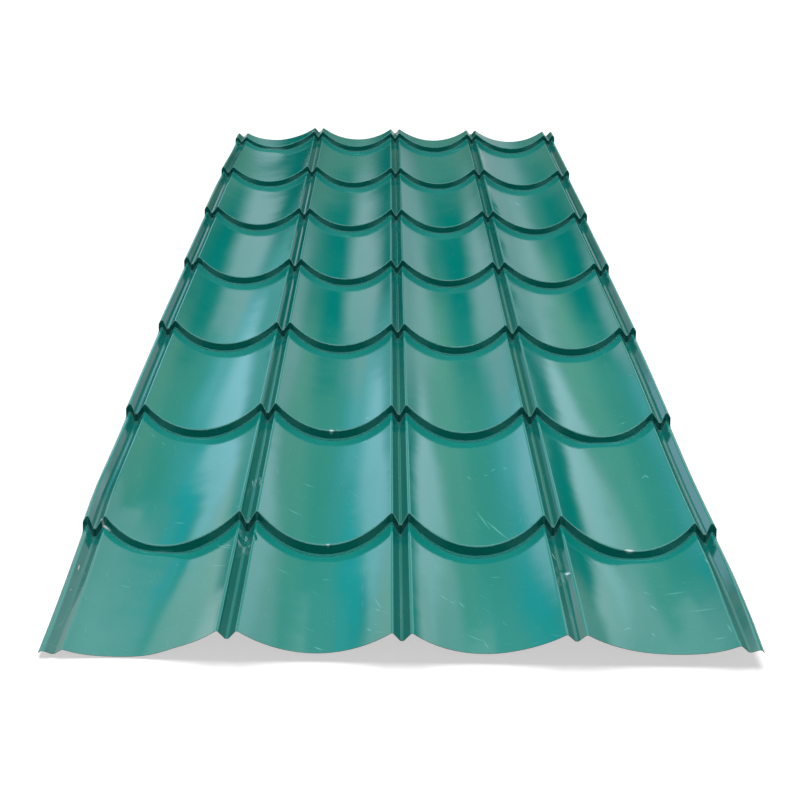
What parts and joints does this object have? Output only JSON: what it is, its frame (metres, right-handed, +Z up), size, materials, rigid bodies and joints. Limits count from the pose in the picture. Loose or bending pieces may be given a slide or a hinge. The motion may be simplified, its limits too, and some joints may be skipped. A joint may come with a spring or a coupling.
{
  "type": "tile effect roofing sheet",
  "caption": "Long thin pre-painted steel roofing sheet, roll formed into wide concave pans between narrow grooved ribs and stepped across its length to look like rows of tiles.",
  "frame": {"origin": "middle of the sheet's outline in plan, on the floor it lies on", "axes": "+Y along the sheet from the eave end to the ridge end, X across it, +Z up out of the weather side"},
  "size_m": [0.8626, 2.43, 0.0423],
  "materials": {
    "painted_steel": "glossy deep teal green coil coating"
  },
  "bodies": {
    "root": {"roofing_sheet": "painted_steel"}
  },
  "joints": []
}
